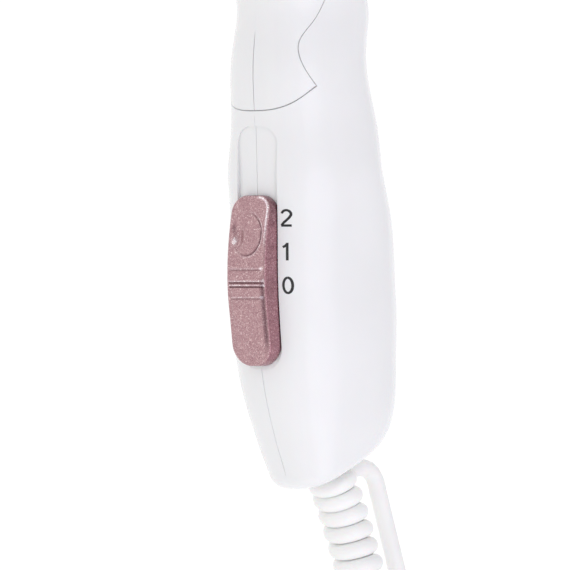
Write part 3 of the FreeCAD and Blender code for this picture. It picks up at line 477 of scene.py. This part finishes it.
RIM_RISE = (-74.0, -63.0)           # z over which that line starts
WALL_BLEND = 0.22                   # from the outline in to where the wall's painted shade ends
WALL_TOP_PAINTED_SHADE = 0.28               # how much more painted shade the wall has round the slider's upper end
WALL_TOP_RISE = (-68.0, -60.0)
# painted shade of the slider's wall
WALL_PAINTED_SHADE = (0.80, 0.63, 0.69)
# painted shade in creases and grooves
CREASE_PAINTED_SHADE = (0.36, 0.28, 0.32)
PAINTED_HIGHLIGHT_GAIN = (1.3, 2.4, 2.35)      # painted highlight on edges, ribs and the dish, added to 1


def face_height(z):
    """Smooth curve through the slider's profile points, as x in the design frame."""
    index = 0
    while index < len(slider_face) - 2 and z > slider_face[index + 1][0]:
        index += 1
    z1, x1 = slider_face[index]
    z2, x2 = slider_face[index + 1]
    z0, x0 = slider_face[max(index - 1, 0)]
    z3, x3 = slider_face[min(index + 2, len(slider_face) - 1)]
    run = z2 - z1
    t = (z - z1) / run
    slope1 = (x2 - x0) / (z2 - z0) * run
    slope2 = (x3 - x1) / (z3 - z1) * run
    return (x1 * (2 * t ** 3 - 3 * t ** 2 + 1) + slope1 * (t ** 3 - 2 * t ** 2 + t)
            + x2 * (3 * t ** 2 - 2 * t ** 3) + slope2 * (t ** 3 - t ** 2))


def slider_width(z):
    """Half-width of the rounded outline at a height."""
    half = SLIDER_HALF
    for end, corner in ((SLIDER_TOP, CORNER_TOP), (SLIDER_BOTTOM, CORNER_BOTTOM)):
        from_end = abs(end - z)
        if from_end < corner:
            reach = math.sqrt(max(corner ** 2 - (corner - from_end) ** 2, 0.0))
            half = SLIDER_HALF - corner + reach
    return half


def edge_distance(y, z):
    """Distance from the rounded outline, inwards."""
    along = z - 0.5 * (SLIDER_TOP + SLIDER_BOTTOM)
    corner = CORNER_TOP if along > 0 else CORNER_BOTTOM
    beyond_y = abs(y) - (SLIDER_HALF - corner)
    beyond_z = abs(along) - (0.5 * (SLIDER_TOP - SLIDER_BOTTOM) - corner)
    outside = math.hypot(max(beyond_y, 0.0), max(beyond_z, 0.0))
    return corner - outside - min(max(beyond_y, beyond_z), 0.0)


def ridge(distance, half_width):
    """A smooth ridge, 1 at its top and 0 past its half-width."""
    share = abs(distance) / half_width
    return 0.5 * (1.0 + math.cos(math.pi * share)) if share < 1.0 else 0.0


def fade(value, start, end):
    """1 before the start, 0 past the end, and smooth between."""
    share = min(1.0, max(0.0, (value - start) / (end - start)))
    return 1.0 - share * share * (3.0 - 2.0 * share)


def rib(z, place, height):
    """A thin rib with a narrow groove along its lower side."""
    half_width, depth = RIB_GROOVE
    groove = depth * height * ridge(z - place + RIB_HALF, half_width)
    return height * ridge(z - place, RIB_HALF) - groove


def dish_place(y, z):
    """How far out in the dish a point is (1 at its edge), and how crisp the edge is there."""
    up, right = (z - DISH_PLACE) / DISH_HALF[1], -y / DISH_HALF[0]
    away = math.atan2(up, right) - STEP_TOWARDS
    crisp = max(0.0, math.cos(STEP_NARROWING * away)) ** 1.5
    return math.hypot(up, right), crisp


def lower_edge(z, inwards):
    """The groove inside the slider's edge, along its lower half, 1 where it is deepest."""
    start, end = LOWER_ENDS
    along = fade(z, *end) * (1.0 - fade(z, *start))
    return along * ridge(inwards - LOWER_EDGE, LOWER_GROOVE[0])


def slider_relief(y, z, inwards):
    """Height of the face's details: crown, dish, ribs, and the groove inside its lower edge."""
    raised = -CROWN * (y / SLIDER_HALF) ** 4
    reach, crisp = dish_place(y, z)
    raised -= DISH_SHELF * fade(reach, 0.93, 1.0) * fade(reach, 0.3, 1.0) ** 0.3 * crisp
    groove, half_width, depth = STEP_GROOVE
    raised -= depth * crisp * ridge(reach - groove, half_width)
    raised -= SCOOP_DEPTH * patch(y, z, SCOOP_PLACE, SCOOP_HALF)
    for place, height, half_length, _, _ in RIBS:
        raised += rib(z, place, height) * fade(abs(y), half_length, half_length + RIB_END)
    return raised - LOWER_GROOVE[1] * lower_edge(z, inwards)


def patch(y, z, place, half):
    """A soft oval spot, 1 at its middle and 0 at its edge."""
    return fade(math.hypot((y - place[0]) / half[0], (z - place[1]) / half[1]), 0.0, 1.0)


def slider_painted_light(y, z, inwards):
    """Colour factor of the paint: painted shade in creases and down the wall, painted highlights on edges."""
    reach, crisp = dish_place(y, z)
    # painted shade in the dish's step groove, painted highlight round it
    dark = crisp * ridge(reach - STEP_PAINTED_SHADE[0], STEP_PAINTED_SHADE[1])
    bright = STEP_PAINTED_HIGHLIGHT[2] * crisp * ridge(reach - STEP_PAINTED_HIGHLIGHT[0], STEP_PAINTED_HIGHLIGHT[1])
    dark_half, highlight_half, highlight_share = RIB_PAINTED_LIGHT
    for place, _, _, half_length, strength in RIBS:
        across = fade(abs(y), half_length, half_length + RIB_END)
        dark = max(dark, strength * ridge(z - place + RIB_HALF, dark_half) * across)
        bright = max(bright, highlight_share * strength * ridge(z - place, highlight_half) * across,
                     patch(y, z, (-half_length - RIB_HIGHLIGHT_OUT, place), RIB_END_PAINTED_HIGHLIGHT))
    # the painted shade in the lower groove and the painted highlight along the rim lie on the right side alone
    on_right = 1.0 - fade(-y, *RIGHT_SIDE)
    place, size, strength = DISH_PAINTED_SHADE
    dark = max(dark, LOWER_PAINTED_SHADE * lower_edge(z, inwards) * on_right,
               strength * patch(y, z, place, size))
    # painted highlight line inside the outline
    way_in, half_width, strength = RIM_PAINTED_HIGHLIGHT
    rim = strength * ridge(inwards - way_in, half_width) * on_right
    bright = max(bright, rim * (1.0 - fade(z, *RIM_RISE)))
    # painted highlight spot on the dish
    place, size, strength = DISH_PAINTED_HIGHLIGHT
    bright = max(bright, strength * patch(y, z, place, size))
    # painted shade down the wall, deeper round the upper end
    wall = fade(inwards, 0.0, WALL_BLEND)
    wall_light = 1.0 - WALL_TOP_PAINTED_SHADE * (1.0 - fade(z, *WALL_TOP_RISE))
    # painted shade, painted highlights and the wall's painted shade multiply together
    return [(1.0 - dark + dark * crease_shade) * (1.0 + bright * gain)
            * (1.0 - wall + wall * side * wall_light)
            for crease_shade, gain, side in zip(CREASE_PAINTED_SHADE, PAINTED_HIGHLIGHT_GAIN, WALL_PAINTED_SHADE)]


def crowded(index, count, evenness):
    """The index's place from -1 to 1, closer to its neighbours near both ends."""
    place = 2.0 * index / count - 1.0
    return evenness * place + (1.0 - evenness) * math.sin(0.5 * math.pi * place)


def slider_mesh():
    """The slider's cap: a fine grid for its face, and rings for its wall."""
    columns, rows = FACE_GRID
    made = bmesh.new()
    middle_z = 0.5 * (SLIDER_TOP + SLIDER_BOTTOM)
    half_length = 0.5 * (SLIDER_TOP - SLIDER_BOTTOM)
    grid = []
    for row in range(rows + 1):
        z = middle_z + half_length * crowded(row, rows, EVENNESS[1])
        line = []
        for column in range(columns + 1):
            y = slider_width(z) * crowded(column, columns, EVENNESS[0])
            inwards = max(edge_distance(y, z), 0.0)
            drop = 0.0
            if inwards < EDGE_RADIUS:
                drop = EDGE_RADIUS - math.sqrt(EDGE_RADIUS ** 2 - (EDGE_RADIUS - inwards) ** 2)
            relief = slider_relief(y, z, inwards) * (1.0 - fade(inwards, 0.0, RELIEF_START))
            line.append((face_height(z) + drop - relief, y, z))
        grid.append(line)
    # per vertex: painted shade in creases and down the wall, painted highlights on edges
    tone_and_painted_light = made.verts.layers.float_color.new(PAINTED_LIGHT_ATTRIBUTE)
    verts = [[made.verts.new(at(*point)) for point in line] for line in grid]
    for vert_line, line in zip(verts, grid):
        for vert, (_, y, z) in zip(vert_line, line):
            vert[tone_and_painted_light] = (*slider_painted_light(y, z, max(edge_distance(y, z), 0.0)), 1.0)
    for low_row, high_row in zip(verts, verts[1:]):
        for column in range(columns):
            made.faces.new((low_row[column], low_row[column + 1],
                            high_row[column + 1], high_row[column]))
    loop = [(0, c) for c in range(columns)] + [(r, columns) for r in range(rows)]
    loop += [(rows, columns - c) for c in range(columns)] + [(rows - r, 0) for r in range(rows)]
    upper = [verts[r][c] for r, c in loop]
    feet = [recess_at(grid[r][c][1], grid[r][c][2]) - SLIDER_GAP for r, c in loop]
    for share in WALL_RINGS:
        lower = []
        for (r, c), foot in zip(loop, feet):
            x, y, z = grid[r][c]
            lower.append(made.verts.new(at(x + (foot - x) * share, y, z)))
            lower[-1][tone_and_painted_light] = (*slider_painted_light(y, z, 0.0), 1.0)
        for k in range(len(loop)):
            following = (k + 1) % len(loop)
            made.faces.new((upper[k], lower[k], lower[following], upper[following]))
        upper = lower
    made.faces.new(upper)
    bmesh.ops.recalc_face_normals(made, faces=made.faces)
    for face in made.faces:
        face.smooth = len(face.verts) == 4
    mesh = bpy.data.meshes.new("slider_cap")
    made.to_mesh(mesh)
    made.free()
    return mesh


slider = put("slider_cap", "switch", slider_mesh(), slider_paint_with_painted_light)
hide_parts("switch_slider")


# --- numbers beside the switch ---------------------------------------------------------------
NUMBER_HEIGHT = 4.9                 # mm
STROKE = 0.66                       # mm
PRINT_TOP = 0.03                    # mm off the handle's surface
PRINT_FOOT = -0.05
STROKE_STEPS = 3                    # places on each piece of a stroke's path


def arc(centre, radii, start, end, steps):
    """Points on part of an ellipse, from one angle to another in degrees."""
    angles = [math.radians(start + (end - start) * k / steps) for k in range(steps + 1)]
    return [(centre[0] + radii[0] * math.cos(a), centre[1] + radii[1] * math.sin(a))
            for a in angles]


def number_paths(number):
    """Centre lines of the strokes, in units of the number's height, centred on the number."""
    if number == 0:
        return [arc((0.0, 0.0), (0.23, 0.435), 90.0, 450.0, 40)]
    if number == 1:
        return [[(0.06, 0.5), (0.06, 0.3), (0.06, 0.0), (0.06, -0.3), (0.06, -0.5)],
                [(0.05, 0.42), (-0.04, 0.32), (-0.17, 0.25)]]
    bowl = arc((0.0, 0.21), (0.235, 0.225), 170.0, -18.0, 22)
    return [bowl + [(0.15, 0.02), (0.02, -0.12), (-0.14, -0.27), (-0.235, -0.40), (-0.25, -0.435)],
            [(-0.27, -0.437), (0.0, -0.437), (0.26, -0.437)]]


def ribbon(path, width):
    """Left and right edges of a stroke of that width along a path."""
    left, right = [], []
    for index, point in enumerate(path):
        before = path[max(index - 1, 0)]
        after = path[min(index + 1, len(path) - 1)]
        run = Vector((after[0] - before[0], after[1] - before[1])).normalized()
        side = Vector((-run.y, run.x)) * width / 2.0
        left.append((point[0] + side.x, point[1] + side.y))
        right.append((point[0] - side.x, point[1] - side.y))
    return left, right


def printed_number(number, y, z):
    """The number as a thin raised print that follows the handle's surface."""
    made = bmesh.new()
    for path in number_paths(number):
        dense = []
        for start, end in zip(path, path[1:]):
            dense += [(start[0] + (end[0] - start[0]) * k / STROKE_STEPS,
                       start[1] + (end[1] - start[1]) * k / STROKE_STEPS)
                      for k in range(STROKE_STEPS)]
        dense.append(path[-1])
        left, right = ribbon(dense, STROKE / NUMBER_HEIGHT)
        rows = []
        for pair in zip(left, right):
            row = []
            for lift in (PRINT_TOP, PRINT_FOOT):
                for across, along in pair:
                    place = on_handle(y - across * NUMBER_HEIGHT, z + along * NUMBER_HEIGHT, lift)
                    row.append(made.verts.new(place))
            rows.append(row)
        for a, b in zip(rows, rows[1:]):
            made.faces.new((a[0], b[0], b[1], a[1]))
            made.faces.new((a[3], b[3], b[2], a[2]))
            made.faces.new((a[2], b[2], b[0], a[0]))
            made.faces.new((a[1], b[1], b[3], a[3]))
        made.faces.new((rows[0][0], rows[0][1], rows[0][3], rows[0][2]))
        made.faces.new((rows[-1][1], rows[-1][0], rows[-1][2], rows[-1][3]))
    mesh = bpy.data.meshes.new("number_%d" % number)
    made.to_mesh(mesh)
    made.free()
    put("number_%d" % number, "handle", mesh, materials["number_black"])


for number, y, z in ((2, -9.55, -63.9), (1, -9.4, -73.3), (0, -9.75, -82.7)):
    printed_number(number, y, z)


# --- light and floor -------------------------------------------------------------------------
world = bpy.data.worlds.new("world")
bpy.context.scene.world = world
world.use_nodes = True
bpy.context.scene.view_settings.view_transform = "Standard"


def graded_sky(colour, strength, grades):
    """A plain pale sky. Each grade is a direction, and the closeness to it (a cosine) from which
    to which its gain goes from one value to another."""
    tree = world.node_tree
    background = tree.nodes["Background"]
    background.inputs["Color"].default_value = (*colour, 1.0)
    coordinates = tree.nodes.new("ShaderNodeTexCoord")
    factor = None
    for towards, stops in grades:
        dot = tree.nodes.new("ShaderNodeVectorMath")
        dot.operation = "DOT_PRODUCT"
        dot.inputs[1].default_value = towards.normalized()
        tree.links.new(coordinates.outputs["Generated"], dot.inputs[0])
        grade = tree.nodes.new("ShaderNodeMapRange")
        grade.interpolation_type = "SMOOTHSTEP"
        for name, value in zip(("From Min", "From Max", "To Min", "To Max"), stops):
            grade.inputs[name].default_value = value
        tree.links.new(dot.outputs["Value"], grade.inputs["Value"])
        product = tree.nodes.new("ShaderNodeMath")
        product.operation = "MULTIPLY"
        tree.links.new(grade.outputs["Result"], product.inputs[0])
        product.inputs[1].default_value = strength
        if factor:
            tree.links.new(factor, product.inputs[1])
        factor = product.outputs["Value"]
    tree.links.new(factor, background.inputs["Strength"])


graded_sky((0.985, 0.98, 0.995), 0.85,
           ((-UP + FORWARD * 0.1, (-0.9, 0.9, 0.72, 1.32)),
            (FORWARD * 0.77 - LEFT * 0.64, (0.45, 0.95, 1.0, 0.8))))

LIT_MIDDLE = at(0, 0, -80)


def area_light(name, towards, away, size, power, colour):
    """A round lamp so many metres from the middle of the handle, facing it."""
    place = LIT_MIDDLE + towards.normalized() * away
    data = bpy.data.lights.new(name, "AREA")
    data.shape = "DISK"
    data.size = size
    data.energy = power
    data.color = colour
    lamp = bpy.data.objects.new(name, data)
    bpy.context.scene.collection.objects.link(lamp)
    lamp.location = place
    lamp.rotation_euler = (place - LIT_MIDDLE).to_track_quat("Z", "Y").to_euler()


area_light("key", -LEFT - FORWARD * 0.1 - UP * 0.3, 1.2, 1.3, 3.6, (0.85, 0.84, 1.0))
area_light("top", UP * 0.65 - LEFT * 0.9 - FORWARD * 0.42, 1.1, 0.16, 1.3, (1.0, 0.97, 1.0))

FLOOR_HALF = 6.0                    # metres
FLOOR_DROP = 0.2 * MM               # below the lowest point of the model
FLOOR_GLOW = 0.96

floor_mesh = bpy.data.meshes.new("floor")
floor_mesh.from_pydata([(-FLOOR_HALF, -FLOOR_HALF, 0), (FLOOR_HALF, -FLOOR_HALF, 0),
                        (FLOOR_HALF, FLOOR_HALF, 0), (-FLOOR_HALF, FLOOR_HALF, 0)], [],
                       [(0, 1, 2, 3)])
floor = bpy.data.objects.new("floor", floor_mesh)
floor.location.z = -FLOOR_DROP
bpy.context.scene.collection.objects.link(floor)
floor_shader = Shader("floor")
floor_shader.link(floor_shader.mottle(3.0, (0.09, 0.09, 0.09), (0.1, 0.1, 0.1)),
                  floor_shader.main.inputs["Base Color"])
floor_shader.constant(Roughness=0.9, Specular_IOR_Level=0.1,
                      Emission_Color=(1.0, 1.0, 1.0, 1.0), Emission_Strength=FLOOR_GLOW)
floor_mesh.materials.append(floor_shader.material)
